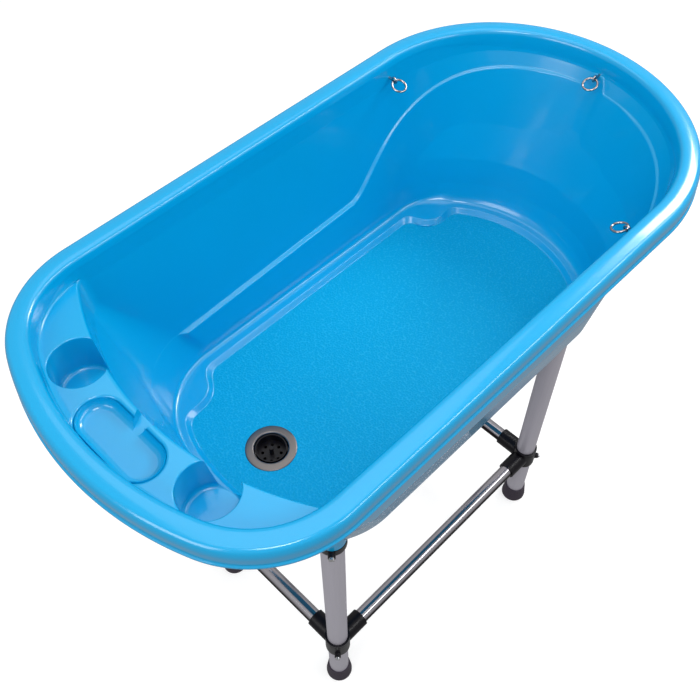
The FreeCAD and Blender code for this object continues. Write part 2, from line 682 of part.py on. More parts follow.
os.makedirs("parts", exist_ok=True)
for node in NODES:
    shape = doc.getObject(node).Shape
    if shape.isNull() or not shape.isValid():
        raise SystemExit(f"{node} has no valid shape")
    shape.exportStep(f"parts/{node}.step")
    size = shape.BoundBox
    print(f"{node}: {len(shape.Solids)} solid, {shape.Volume / 1000:.1f} cm3, "
          f"z {size.ZMin:.1f} to {size.ZMax:.1f}")
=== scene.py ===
"""Pet grooming bath tub on a four-leg stand: the looks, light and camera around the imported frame.

The tub is one moulded skin, built here in millimetres and turned into metres when its mesh is
made. The drain's flange is turned again in its own place. Every other piece keeps its CAD shape
and takes a finish. X runs from the drain end (-X) to the rounded head end (+X), the left side is
+Y, and Z is up. Depths are measured down from the top of the rim.
"""
import math

import bmesh
import bpy
import numpy as np
from mathutils import Matrix, Vector


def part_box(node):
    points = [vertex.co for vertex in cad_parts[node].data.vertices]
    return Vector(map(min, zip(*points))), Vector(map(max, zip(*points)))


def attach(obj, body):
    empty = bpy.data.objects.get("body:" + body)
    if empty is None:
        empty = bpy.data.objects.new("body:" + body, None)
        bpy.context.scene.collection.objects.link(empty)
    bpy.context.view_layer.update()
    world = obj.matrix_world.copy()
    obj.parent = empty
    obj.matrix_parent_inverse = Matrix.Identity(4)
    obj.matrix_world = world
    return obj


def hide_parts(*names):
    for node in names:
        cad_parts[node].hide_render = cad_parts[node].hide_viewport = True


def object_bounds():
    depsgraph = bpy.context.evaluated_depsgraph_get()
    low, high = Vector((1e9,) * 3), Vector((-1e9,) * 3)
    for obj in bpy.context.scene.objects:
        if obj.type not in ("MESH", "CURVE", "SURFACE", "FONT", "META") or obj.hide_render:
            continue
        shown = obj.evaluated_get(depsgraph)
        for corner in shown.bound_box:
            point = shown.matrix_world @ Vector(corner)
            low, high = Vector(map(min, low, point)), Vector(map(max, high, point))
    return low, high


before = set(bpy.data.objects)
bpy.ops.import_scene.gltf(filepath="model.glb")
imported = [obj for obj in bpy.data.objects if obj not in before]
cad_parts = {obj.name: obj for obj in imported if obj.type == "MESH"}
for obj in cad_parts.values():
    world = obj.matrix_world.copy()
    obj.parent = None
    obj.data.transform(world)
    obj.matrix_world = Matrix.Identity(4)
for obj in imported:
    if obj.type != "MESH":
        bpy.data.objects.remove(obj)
CAD_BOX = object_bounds()

MM = 0.001
LEGS = ("drain_left", "drain_right", "head_left", "head_right")


def middle(node):
    """The middle of a node's box, in millimetres."""
    low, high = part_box(node)
    return (low + high) / 2 / MM


# ---------------------------------------------------------------- plan outlines of the tub

# reach of each side and end from the rim's middle, then the radii of the corner arc and the
# end arc that round each end, in millimetres
OUTLINES = {
    "rim": dict(half=330, head=635, drain=635, head_arcs=(306, 343), drain_arcs=(196, 548)),
    "mouth": dict(half=288, head=593, drain=593, head_arcs=(264, 301), drain_arcs=(154, 506)),
    "basin": dict(half=288, head=593, drain=504, head_arcs=(264, 301), drain_arcs=(30, 548)),
    "waist": dict(half=280, head=560, drain=497.5, head_arcs=(251, 294), drain_arcs=(30, 530)),
    "ledge": dict(half=263, head=494, drain=452, head_arcs=(225, 280), drain_arcs=(122, 500)),
    "foot": dict(half=238, head=464, drain=424, head_arcs=(120, 290), drain_arcs=(166, 460)),
    "panel": dict(half=214, head=440, drain=405, head_arcs=(96, 266), drain_arcs=(150, 438)),
}
# how many columns of the mesh stand on each stretch of an outline
SIDE, HEAD_CORNER, HEAD_END, DRAIN_CORNER, DRAIN_END = 120, 44, 120, 34, 84
RIM_TOP = CAD_BOX[1][2] / MM


def cap_centres(half, reach, corner, end):
    """Where the corner arc and the end arc of one end are centred, and where they meet."""
    end_x = reach - end
    corner_x = end_x + math.sqrt((end - corner) ** 2 - (half - corner) ** 2)
    return corner_x, end_x, math.atan2(half - corner, corner_x - end_x)


def arc(x, y, radius, first, last, count):
    """Points on an arc about (x, y), from the first angle up to, but without, the last."""
    angle = np.linspace(first, last, count, endpoint=False)
    return np.stack([x + radius * np.cos(angle), y + radius * np.sin(angle)], axis=1)


def plan(name, grow=0.0):
    """An outline's points, counter-clockwise from the drain end of the right side."""
    size = OUTLINES[name]
    half = size["half"] + grow
    ends = {}
    for end in ("head", "drain"):
        corner, far = (radius + grow for radius in size[end + "_arcs"])
        ends[end] = (corner, far) + cap_centres(half, size[end] + grow, corner, far)
    h_corner, h_far, h_corner_x, h_end_x, h_meet = ends["head"]
    d_corner, d_far, d_corner_x, d_end_x, d_meet = ends["drain"]
    quarter = math.pi / 2
    along = np.linspace(-d_corner_x, h_corner_x, SIDE, endpoint=False)
    back = np.linspace(h_corner_x, -d_corner_x, SIDE, endpoint=False)
    return np.concatenate([
        np.stack([along, np.full(SIDE, -half)], axis=1),
        arc(h_corner_x, h_corner - half, h_corner, -quarter, -h_meet, HEAD_CORNER),
        arc(h_end_x, 0, h_far, -h_meet, h_meet, HEAD_END),
        arc(h_corner_x, half - h_corner, h_corner, h_meet, quarter, HEAD_CORNER),
        np.stack([back, np.full(SIDE, half)], axis=1),
        arc(-d_corner_x, half - d_corner, d_corner, quarter, 2 * quarter - d_meet, DRAIN_CORNER),
        arc(-d_end_x, 0, d_far, 2 * quarter - d_meet, 2 * quarter + d_meet, DRAIN_END),
        arc(-d_corner_x, d_corner - half, d_corner, 2 * quarter + d_meet, 3 * quarter,
            DRAIN_CORNER)])


def at_depth(points, depth):
    """Plan points put this far below the top of the rim; depth is a number or one per point."""
    return np.column_stack([points, np.full(len(points), RIM_TOP) - depth])


def mix(first, second, share):
    """A point between two, by a share or one share per point."""
    share = np.asarray(share)
    return first + (second - first) * (share[:, None] if share.ndim else share)


def ramp(value, low, high):
    """0 below low, 1 above high, smooth between."""
    t = np.clip((value - low) / (high - low), 0, 1)
    return t * t * (3 - 2 * t)


def soft_min(first, second, width):
    """The smaller of two values, rounded where they are about the same."""
    near = np.clip(0.5 + 0.5 * (second - first) / width, 0, 1)
    return second + (first - second) * near - width * near * (1 - near)


# ---------------------------------------------------------------- the floor's recessed panel

SOCKETS = [middle(f"leg_{leg}") for leg in LEGS]
# a raised pad over each leg, given for both sides: X, distance from the middle line, radius
PADS = ((-337, 215, 58), (353, 209, 50))
PAD_BLEND = 26
TRACE_STEP = 1.5
CORRECTIONS = 2     # how often each traced point is moved back onto its level line
NUDGE = 0.01        # for slopes


def outline_distance(name, x, y):
    """Signed distance from an outline, below zero inside."""
    size = OUTLINES[name]
    half = size["half"]
    end = "head" if x > 0 else "drain"
    corner, far = size[end + "_arcs"]
    corner_x, end_x, _ = cap_centres(half, size[end], corner, far)
    x, y = abs(x), abs(y)
    if x <= corner_x:
        return y - half
    if y * (corner_x - end_x) < (half - corner) * (x - end_x):
        return math.hypot(x - end_x, y) - far
    return math.hypot(x - corner_x, y - half + corner) - corner


def panel_distance(x, y):
    """Signed distance from the panel's edge, which steps round a raised pad over each leg."""
    result = outline_distance("panel", x, y)
    for pad_x, pad_y, radius in PADS:
        pad = radius - math.hypot(x - pad_x, abs(y) - pad_y)
        near = max(PAD_BLEND - abs(result - pad), 0) / PAD_BLEND
        result = max(result, pad) + near * near * PAD_BLEND / 4
    return result


def slope(x, y):
    """The direction in which the distance from the panel's edge grows."""
    gx = (panel_distance(x + NUDGE, y) - panel_distance(x - NUDGE, y)) / (2 * NUDGE)
    gy = (panel_distance(x, y + NUDGE) - panel_distance(x, y - NUDGE)) / (2 * NUDGE)
    size = math.hypot(gx, gy)
    return gx / size, gy / size


def trace_panel(level):
    """Half of a level line of the panel's edge, walked from the head end to the drain end."""
    x, y = OUTLINES["panel"]["head"] + level, 0.0
    line = [(x, y)]
    while y >= 0:
        gx, gy = slope(x, y)
        x, y = x - gy * TRACE_STEP, y + gx * TRACE_STEP
        for _ in range(CORRECTIONS):
            gx, gy = slope(x, y)
            miss = panel_distance(x, y) - level
            x, y = x - gx * miss, y - gy * miss
        line.append((x, y))
    line[-1] = (line[-1][0], 0.0)
    return np.array(line)


def run_length(line):
    """How far along a line each of its points lies."""
    return np.concatenate([[0], np.cumsum(np.linalg.norm(np.diff(line, axis=0), axis=1))])


def follow_panel(level, guide):
    """Points on the panel's edge, one for each point of the guide outline.

    Both are measured from the head end to the drain end, with the middle of the side as a
    common mark, so that the columns stay square to the edge along the sides.
    """
    line = trace_panel(level)
    gone = run_length(line)
    half_way = np.interp(0, -line[:, 0], gone)
    count = len(guide)
    points = np.zeros((count, 2))
    for side in (1, -1):
        chosen = np.where(guide[:, 1] * side >= 0)[0]
        order = chosen[np.argsort(np.arctan2(side * guide[chosen, 1], guide[chosen, 0]))]
        path = guide[order] * (1, side)
        walked = run_length(np.vstack([[OUTLINES["foot"]["head"], 0], path,
                                       [-OUTLINES["foot"]["drain"], 0]]))
        mark = np.interp(0, -path[:, 0], walked[1:-1])
        place = np.interp(walked[1:-1], [0, mark, walked[-1]], [0, half_way, gone[-1]])
        points[order, 0] = np.interp(place, gone, line[:, 0])
        points[order, 1] = side * np.interp(place, gone, line[:, 1])
    return points


# ---------------------------------------------------------------- the tub's skin

RIM_WIDE = 38       # flat width of the rim, before its inner edge turns down
RIM_CREST = 22      # from the rim's outer edge to its highest line
LIP_DEPTH = 43
BEAD = 1.5          # how far the bead along the lip stands out
SHELF_DEPTH = 38
WAIST_DEPTH = 110
LEDGE_DEPTH = 256
FOOT_DEPTH = 363
PANEL_DEPTH = 372
BELLY_DEPTH = 379
SKIN = 5
# the ledge along the sides: its depth amidships, and its rise for each millimetre toward the head
LEDGE_LEVEL, LEDGE_RISE = 268, 0.035
# the arch that the ledge draws up the head end: X and depth where it starts and at its crown
ARCH_START, ARCH_CROWN = (240, 238), (590, 64)
ARCH_BEND = 2.4
ARCH_BLEND = 34
# the arch bends up round the seat of the head tether: by how much, and the Y over which it fades
SEAT_RISE, SEAT_FADE = 25, (9, 27)
# how far the wall steps in at the ledge, and falls there
STEP, STEP_DROP = 8, 3.5
# how much less it steps in above the ledge's level, and over what rise
LESS_UP_ARCH, UP_ARCH = 4.0, (20, 120)
# the same below the arch's crown, with Y as if to the right
LESS_AT_CROWN, AT_CROWN = 2.0, (-110, -60)
# the X over which the step fades toward the drain end, and how little of it is left there
STEP_FADE, STEP_LEFT = (-292, -272), 0.4
# the shelf's width over which its rows, and those of its underside, close up into a real step
SHELF_FADE, UNDER_FADE = (22, 74), (16, 46)
# rounding of the floor's edge, how much is added at the head end, and the X between the two
FOOT_ROUND, HEAD_ROUND, ROUND_FADE = 13, 27, (340, 430)
# levels of the panel's edge: top and foot of its slope, and the first row of the flat panel
EDGE_TOP, EDGE_FOOT, EDGE_FLAT = 6, -3, -6
# a bend reaches at least this far from its corner, and takes at most this share of a run
LEAST_REACH, RUN_SHARE = 0.5, 0.46
# the first and last steps of a run are this share of the others, which keeps it flat to the bend
SHORT_STEP = 0.25


def arch_depth(points):
    """How deep the ledge lies: nearly level along the sides, then an arch up the head end."""
    x, y = points[:, 0], points[:, 1]
    level = LEDGE_LEVEL - LEDGE_RISE * x
    (start, start_depth), (crown, crown_depth) = ARCH_START, ARCH_CROWN
    share = np.clip((crown - x) / (crown - start), 0, 2)
    climb = crown_depth + (start_depth - crown_depth) * share ** ARCH_BEND
    depth = soft_min(level, climb, ARCH_BLEND)
    seat = SEAT_RISE * (1 - ramp(np.abs(y), *SEAT_FADE))
    return np.where(x > 0, depth - seat, np.minimum(depth, level))


def ledge_step(points, depth):
    """How far the wall steps in at each point of the ledge."""
    x, y = points[:, 0], np.abs(points[:, 1])
    step = STEP - LESS_UP_ARCH * ramp(LEDGE_DEPTH - depth, *UP_ARCH)
    step = step - LESS_AT_CROWN * ramp(-y, *AT_CROWN)
    return step * np.where(x > 0, 1, ramp(x, *STEP_FADE)) + STEP_LEFT


def wall_point(depth):
    """Points on the wall, which runs straight from the shelf to the waist and on to the ledge."""
    basin, waist, ledge = plan("basin"), plan("waist"), plan("ledge")
    above = mix(basin, waist, (depth - SHELF_DEPTH) / (WAIST_DEPTH - SHELF_DEPTH))
    below = mix(waist, ledge, (depth - WAIST_DEPTH) / (LEDGE_DEPTH - WAIST_DEPTH))
    return np.where((depth < WAIST_DEPTH)[:, None], above, below)


def rounded_profile(corners):
    """Rows of the skin: each corner is (points, radius, arc steps, steps to the next corner)."""
    rows = []
    count = len(corners)
    shapes = []
    for index, (points, radius, arc_steps, _) in enumerate(corners):
        if index in (0, count - 1):
            shapes.append((points, points, [points]))
            continue
        before, after = corners[index - 1][0], corners[index + 1][0]
        toward, away = before - points, after - points
        near, far = np.linalg.norm(toward, axis=1), np.linalg.norm(away, axis=1)
        toward, away = toward / near[:, None], away / far[:, None]
        half_turn = (math.pi - np.arccos(np.clip((toward * away).sum(axis=1), -1, 1))) / 2
        reach = np.maximum(radius * np.tan(half_turn), LEAST_REACH)
        first = points + toward * np.minimum(reach, RUN_SHARE * near)[:, None]
        last = points + away * np.minimum(reach, RUN_SHARE * far)[:, None]
        # a rational curve, which with this weight is an arc of a circle
        weight = np.cos(half_turn)[:, None]
        bend = []
        for t in np.linspace(0, 1, arc_steps + 1):
            a, b, c = (1 - t) ** 2, 2 * t * (1 - t) * weight, t ** 2
            bend.append((a * first + b * points + c * last) / (a + b + c))
        shapes.append((first, last, bend))
    for index, (first, last, bend) in enumerate(shapes):
        rows += bend
        if index < count - 1:
            following = shapes[index + 1][0]
            steps = corners[index][3]
            places = np.linspace(0, 1, steps + 1)[1:-1]
            if steps > 2:
                short = SHORT_STEP / steps
                places = np.concatenate([[short], places, [1 - short]])
            rows += [mix(last, following, place) for place in places]
    return rows


def shelf_width():
    """How wide the shelf is at each column, nothing along the sides."""
    return np.linalg.norm(plan("mouth") - plan("basin"), axis=1)


def outside_corners():
    """Corners of the outer skin, from under the floor to the inside of the rim's outer side."""
    # along the sides there is no shelf, so the rows of its underside spread up and down the wall
    spread_most, tuck = 10, 0.04
    spread = spread_most * (1 - ramp(shelf_width(), *UNDER_FADE))
    ledge = plan("ledge", 5)
    shelf_under = mix(plan("basin", 6), ledge, tuck * spread / spread_most)
    under_back = plan("mouth", 6)
    rim_under = plan("rim", -SKIN)
    return [
        # the belly's middle and its edge
        (at_depth(plan("foot", -30), BELLY_DEPTH), 0, 1, 1),
        (at_depth(plan("foot", 4), BELLY_DEPTH), 14, 6, 3),
        # up the wall to the shelf's underside
        (at_depth(ledge, LEDGE_DEPTH + 5), 60, 4, 4),
        (at_depth(plan("waist", 6), WAIST_DEPTH), 60, 4, 4),
        (at_depth(shelf_under, SHELF_DEPTH + SKIN + spread), 10, 5, 8),
        # behind the shelf, under the rim and down inside its outer side
        (at_depth(under_back, SHELF_DEPTH + SKIN - spread), 8, 4, 2),
        (at_depth(under_back, SKIN), 6, 4, 2),
        (at_depth(rim_under, SKIN), 11, 6, 2),
        (at_depth(rim_under, LIP_DEPTH - 8), 8, 2, 1),
    ]


def rim_corners():
    """Corners of the rim, from its lip, over its top, to its inner edge."""
    bead = plan("rim", BEAD)
    return [
        # the lip with its bead, and the neck above the bead
        (at_depth(plan("rim", -3), LIP_DEPTH), 1.0, 2, 1),
        (at_depth(bead, LIP_DEPTH), 1.5, 3, 1),
        (at_depth(bead, LIP_DEPTH - 4.5), 1.5, 3, 1),
        (at_depth(plan("rim", -1), LIP_DEPTH - 7), 2.5, 3, 2),
        # the outer side, the crowned top and the edge where it turns down
        (at_depth(plan("rim"), 14), 30, 4, 1),
        (at_depth(plan("rim", -5), 3.0), 10, 7, 1),
        (at_depth(plan("rim", -RIM_CREST), 0.0), 60, 5, 1),
        (at_depth(plan("rim", -RIM_WIDE), 1.6), 11, 9, 2),
    ]


def inside_corners():
    """Corners of the basin, from under the rim to the recessed panel."""
    mouth, ledge, foot = plan("mouth"), plan("ledge"), plan("foot", 3)
    ledge_share = 0.3
    depth = arch_depth(mix(plan("basin"), ledge, ledge_share))
    # the shelf's rows spread here too, by less where the arch comes up close to them
    spread_least, spread_more = 3, 13
    spread = spread_least + spread_more * ramp(depth, 60, 120)
    spread = spread * (1 - ramp(shelf_width(), *SHELF_FADE))
    waist_at = np.minimum(WAIST_DEPTH, SHELF_DEPTH + 0.5 * (depth - SHELF_DEPTH))
    upper = wall_point(depth)
    step = ledge_step(upper, depth)
    inward = plan("ledge", -10) - ledge
    inward /= np.linalg.norm(inward, axis=1)[:, None]
    lower = upper + inward * step[:, None]
    foot_round = FOOT_ROUND + HEAD_ROUND * ramp(foot[:, 0], *ROUND_FADE)
    return [
        # down from the rim, over the shelf and down the wall
        (at_depth(mouth, 24 - spread * 0.4), 80, 2, 1),
        (at_depth(mouth, SHELF_DEPTH - spread), 13, 7, 22),
        (at_depth(wall_point(SHELF_DEPTH + spread), SHELF_DEPTH + spread), 6, 7, 5),
        (at_depth(wall_point(waist_at), waist_at), 30, 3, 7),
        # the ledge's upper and lower edge
        (at_depth(upper, depth), 4.0, 5, 1),
        (at_depth(lower, depth + STEP_DROP * step / STEP), 5.0, 5, 8),
        # the floor's edge and the slope down to the panel
        (at_depth(foot, FOOT_DEPTH), foot_round, 9, 2),
        (at_depth(follow_panel(EDGE_TOP, foot), FOOT_DEPTH), 3.5, 5, 1),
        (at_depth(follow_panel(EDGE_FOOT, foot), PANEL_DEPTH), 3.5, 5, 1),
        (at_depth(follow_panel(EDGE_FLAT, foot), PANEL_DEPTH), 0, 1, 1),
    ]


def skin_rows():
    """Rows of points from the middle of the underside, over the rim, to the recessed panel."""
    return rounded_profile(outside_corners() + rim_corners() + inside_corners())


def in_metres(build):
    """Turn a bmesh from millimetres into metres."""
    for vertex in build.verts:
        vertex.co *= MM


def smooth(mesh):
    """Shade every face of a mesh smooth."""
    mesh.polygons.foreach_set("use_smooth", [True] * len(mesh.polygons))


def mesh_object(name, build):
    """A mesh object from a bmesh in millimetres."""
    in_metres(build)
    mesh = bpy.data.meshes.new(name)
    build.to_mesh(mesh)
    build.free()
    smooth(mesh)
    obj = bpy.data.objects.new(name, mesh)
    bpy.context.scene.collection.objects.link(obj)
    return obj


def add_band(build, rows):
    """Quads between rows of points, each a closed loop; returns the rows' vertices."""
    rings = [[build.verts.new(point) for point in row] for row in rows]
    for low, high in zip(rings, rings[1:]):
        for index in range(len(low)):
            after = (index + 1) % len(low)
            build.faces.new((low[index], low[after], high[after], high[index]))
    return rings


def loop_edges(build, ring):
    """The edges of a closed loop of vertices."""
    return [build.edges.get((ring[index], ring[(index + 1) % len(ring)]))
            for index in range(len(ring))]


ROUND, UNDER_ROUND = 96, 64     # how many points a circle has, and one under the tub


def circle(x, y, radius, depth, count=ROUND):
    """A level circle of points."""
    return at_depth(arc(x, y, radius, 0, 2 * math.pi, count), depth)


def fill_between(build, outer, inner):
    """Flat faces between a loop and a hole in it."""
    bmesh.ops.triangle_fill(build, use_beauty=True, use_dissolve=False,
                            edges=loop_edges(build, outer) + loop_edges(build, inner))


DRAIN = middle("drain_flange")
DRAIN_HOLE = 34


def tub_skin():
    """The tub without its recesses and sockets."""
    build = bmesh.new()
    rings = add_band(build, skin_rows())
    hole = add_band(build, [circle(DRAIN.x, 0, DRAIN_HOLE, depth)
                            for depth in (PANEL_DEPTH, BELLY_DEPTH)])
    fill_between(build, rings[-1], hole[0])
    fill_between(build, rings[0], hole[1])
    bmesh.ops.recalc_face_normals(build, faces=build.faces)
    return mesh_object("tub", build)


# ---------------------------------------------------------------- shelf recesses and sockets

# flare and bend are the roundings of a recess's lip and of its floor
CUP = {"x": -517, "y": 150, "radius": 46, "depth": 110, "flare": 2.5, "bend": 8}
TRAY = {"x": -553, "half": 46, "radius": 37, "depth": 54, "flare": 5, "bend": 15}
DRAFT = 1.5
LIP_TURN, FLOOR_TURN = np.linspace(8, 90, 8), np.linspace(0, 82, 8)     # degrees
# the bodies round them under the shelf: growth of the radius, and depth
CUP_BODY = ((5, SHELF_DEPTH + 2), (4, CUP["depth"] + 1), (-1, CUP["depth"] + SKIN))
TRAY_BODY = ((9, SHELF_DEPTH + 2), (8, TRAY["depth"] + 2), (2, TRAY["depth"] + SKIN + 1))
# the wedge that cuts the tray's spout through the shelf's front: X and Y of its corners, and how
# much larger it is at its top
SPOUT = np.array([(-537, -1), (-470, -37), (-470, 37), (-537, 1)])
SPOUT_FLARE = (1, 1.15)
SPOUT_ABOVE = 15    # how far above the shelf it starts
# a leg socket as radius and depth: down its bore and round its lip
SOCKET = ((22.9, 377), (22.9, 403), (24, 404), (25.8, 404), (26.8, 403))
# depths at which its outside meets the belly, and their rise where the belly curves up, which is
# at these distances from the foot's outline
SOCKET_TOP, BELLY_CURVE = ((380, 0), (370, 16)), (-2, 9)


def closed_body(build, rows):
    """A band with a flat face at each end."""
    rings = add_band(build, rows)
    build.faces.new(reversed(rings[0]))
    build.faces.new(rings[-1])


def behind_front(points):
    """Keep points inside the thickness of the wall below the shelf's front edge."""
    size, waist = OUTLINES["basin"], OUTLINES["waist"]
    far = size["drain_arcs"][1]
    drop = RIM_TOP - points[:, 2] - SHELF_DEPTH
    lean = (size["drain"] - waist["drain"]) / (WAIST_DEPTH - SHELF_DEPTH)
    front = far - size["drain"] - np.sqrt(far ** 2 - points[:, 1] ** 2) + drop * lean
    points[:, 0] = np.minimum(points[:, 0], front - SKIN / 2)
    return points


def add_sockets(build):
    """The round sockets under the belly that the legs stand in."""
    for socket in SOCKETS:
        rows = [circle(socket.x, socket.y, radius, depth, UNDER_ROUND)
                for radius, depth in SOCKET]
        for depth, rise in SOCKET_TOP:
            row = circle(socket.x, socket.y, SOCKET[-1][0], depth, UNDER_ROUND)
            outside = [outline_distance("foot", x, y) for x, y, _ in row]
            row[:, 2] += rise * ramp(np.array(outside), *BELLY_CURVE)
            rows.append(row)
        add_band(build, rows + rows[:1])


def slot_ring(x, half, radius, depth, count):
    """A long round-ended loop across the tub."""
    left = arc(x, half, radius, 0, math.pi, count // 2 + 1)
    right = arc(x, -half, radius, math.pi, 2 * math.pi, count // 2 + 1)
    return at_depth(np.concatenate([left, right]), depth)


def hollow_profile(bowl):
    """(radius, depth) of a recess: an open top, a flared lip, a drafted wall, a rounded floor."""
    radius, flare, bend = bowl["radius"], bowl["flare"], bowl["bend"]
    points = []
    for angle in LIP_TURN:
        turn = math.radians(angle)
        points.append((radius + flare * (1 - math.sin(turn)),
                       SHELF_DEPTH + flare * (1 - math.cos(turn))))
    for angle in FLOOR_TURN:
        turn = math.radians(angle)
        points.append((radius - DRAFT - bend * (1 - math.cos(turn)),
                       bowl["depth"] - bend * (1 - math.sin(turn))))
    wide = points[0][0]
    return [(wide + 2, SHELF_DEPTH - 20), (wide, SHELF_DEPTH - 1)] + points


def tool(rows):
    """A closed body for a boolean."""
    build = bmesh.new()
    closed_body(build, rows)
    bmesh.ops.recalc_face_normals(build, faces=build.faces)
    return mesh_object("tool", build)


def cup_tools(y):
    """The body under the shelf and the hollow cut into it, for one cup."""
    body = [behind_front(circle(CUP["x"], y, CUP["radius"] + more, depth))
            for more, depth in CUP_BODY]
    hollow = [circle(CUP["x"], y, radius, depth) for radius, depth in hollow_profile(CUP)]
    return tool(body), tool(hollow)


def tray_tools():
    """The same for the soap tray."""
    x, half = TRAY["x"], TRAY["half"]
    body = [slot_ring(x, half, TRAY["radius"] + more, depth, UNDER_ROUND)
            for more, depth in TRAY_BODY]
    hollow = [slot_ring(x, half, radius, depth, ROUND) for radius, depth in hollow_profile(TRAY)]
    return tool(body), tool(hollow)


def spout_tool():
    """A wedge through the shelf's front lip, narrow at the tray."""
    return tool([at_depth(SPOUT * SPOUT_FLARE, SHELF_DEPTH - SPOUT_ABOVE),
                 at_depth(SPOUT, TRAY["depth"] - 0.5)])


def baked(obj):
    """Apply an object's modifiers."""
    graph = bpy.context.evaluated_depsgraph_get()
    mesh = bpy.data.meshes.new_from_object(obj.evaluated_get(graph))
    old = obj.data
    obj.modifiers.clear()
    obj.data = mesh
    bpy.data.meshes.remove(old)


def boolean(obj, other, operation):
    """Add another object to one or cut it out, and remove the other."""
    modifier = obj.modifiers.new(operation, "BOOLEAN")
    modifier.object = other
    modifier.operation = operation
    modifier.solver = "EXACT"
    baked(obj)
    bpy.data.objects.remove(other)


WELD = 0.0005       # millimetres
TUB_SHARP = math.radians(38)
FLAT_WEIGHT = 60    # how much the flat faces pull the normals beside them
ON_PANEL = 0.1      # how near to the panel's level a face of it is, in millimetres
FACES_UP = 0.99


def make_tub():
    """The whole tub, with its two blues."""
    tub = tub_skin()
    for body, hollow in (cup_tools(CUP["y"]), cup_tools(-CUP["y"]), tray_tools()):
        boolean(tub, body, "UNION")
        boolean(tub, hollow, "DIFFERENCE")
    boolean(tub, spout_tool(), "DIFFERENCE")
    build = bmesh.new()
    build.from_mesh(tub.data)
    build.transform(Matrix.Scale(1 / MM, 4))
    add_sockets(build)
    bmesh.ops.remove_doubles(build, verts=build.verts, dist=WELD)
    bmesh.ops.recalc_face_normals(build, faces=build.faces)
    in_metres(build)
    build.to_mesh(tub.data)
    build.free()
    smooth(tub.data)
    tub.data.set_sharp_from_angle(angle=TUB_SHARP)
    weigh = tub.modifiers.new("weigh", "WEIGHTED_NORMAL")
    weigh.mode = "FACE_AREA"
    weigh.weight = FLAT_WEIGHT
    weigh.keep_sharp = True
    baked(tub)
    tub.data.materials.append(glossy_blue())
    tub.data.materials.append(grained_blue())
    for face in tub.data.polygons:
        level = face.center.z / MM - RIM_TOP + PANEL_DEPTH
        face.material_index = int(abs(level) < ON_PANEL and face.normal.z > FACES_UP)
    return tub


# ---------------------------------------------------------------- materials

def new_material(name, **sockets):
    """A Principled material with some of its sockets set, its node tree and its shader."""
    material = bpy.data.materials.new(name)
    material.use_nodes = True
    shader = material.node_tree.nodes["Principled BSDF"]
    for socket, value in sockets.items():
        shader.inputs[socket.replace("_", " ")].default_value = value
    return material, material.node_tree, shader


def texture(tree, kind, stretch=(1, 1, 1), **sockets):
    """A texture in the object's own metres; stretch scales each axis."""
    place = tree.nodes.new("ShaderNodeTexCoord")
    scale = tree.nodes.new("ShaderNodeMapping")
    scale.inputs["Scale"].default_value = stretch
    made = tree.nodes.new(kind)
    for socket, value in sockets.items():
        made.inputs[socket].default_value = value
    tree.links.new(place.outputs["Object"], scale.inputs["Vector"])
    tree.links.new(scale.outputs["Vector"], made.inputs["Vector"])
    return made.outputs[0]


def spread_over(tree, value, low, high, floor=0.0, ceiling=1.0):
    """Map a value that runs from floor to ceiling to the range from low to high."""
    made = tree.nodes.new("ShaderNodeMapRange")
    settings = {"From Min": floor, "From Max": ceiling, "To Min": low, "To Max": high}
    for socket, number in settings.items():
        made.inputs[socket].default_value = number
    tree.links.new(value, made.inputs["Value"])
    return made.outputs["Result"]


def colour_by(tree, shader, share, first, second):
    """Colour a shader between two colours, by a share."""
    made = tree.nodes.new("ShaderNodeMix")
    made.data_type = "RGBA"
    made.inputs["A"].default_value = first + (1,)
    made.inputs["B"].default_value = second + (1,)
    tree.links.new(share, made.inputs["Factor"])
    tree.links.new(made.outputs["Result"], shader.inputs["Base Color"])


def roughen_by(tree, shader, share, low, high):
    """Give a shader a roughness between two, by a share."""
    tree.links.new(spread_over(tree, share, low, high), shader.inputs["Roughness"])


def raise_by(tree, shader, height, distance, strength=1.0, under=None):
    """Bump a shader by a height, in metres, on top of another bump if there is one."""
    made = tree.nodes.new("ShaderNodeBump")
    made.inputs["Distance"].default_value = distance
    made.inputs["Strength"].default_value = strength
    tree.links.new(height, made.inputs["Height"])
    if under:
        tree.links.new(under, made.inputs["Normal"])
    tree.links.new(made.outputs["Normal"], shader.inputs["Normal"])
    return made.outputs["Normal"]


def orange_peel(tree, shader, low, high):
    """The faint waviness of moulded plastic, in its bump and its roughness."""
    peel = texture(tree, "ShaderNodeTexNoise", Scale=110.0, Detail=1.0)
    roughen_by(tree, shader, peel, low, high)
    return raise_by(tree, shader, peel, distance=0.000008)


def glossy_blue():
    """Glossy moulded plastic, a little uneven in colour."""
    material, tree, shader = new_material("tub_blue", IOR=1.5, Specular_IOR_Level=0.5,
                                          Coat_Weight=0.4, Coat_Roughness=0.03)
    clouds = texture(tree, "ShaderNodeTexNoise", Scale=6.0, Detail=3.0)
    colour_by(tree, shader, clouds, (0.0, 0.325, 0.63), (0.0, 0.345, 0.67))
    orange_peel(tree, shader, 0.16, 0.26)
    return material


def grained_blue():
    """The same plastic with the dull leather grain of the floor panel."""
    material, tree, shader = new_material("tub_floor_blue", IOR=1.5, Specular_IOR_Level=0.08,
                                          Coat_Weight=0.0, Coat_Roughness=0.03)
    bumped = orange_peel(tree, shader, 0.4, 0.6)
    cells = texture(tree, "ShaderNodeTexVoronoi", Scale=240.0)
    raise_by(tree, shader, cells, distance=0.0009, strength=0.8, under=bumped)
    edges = spread_over(tree, cells, 0, 1, floor=0.5, ceiling=0.85)
    colour_by(tree, shader, edges, (0.0, 0.335, 0.605), (0.01, 0.38, 0.65))
    return material


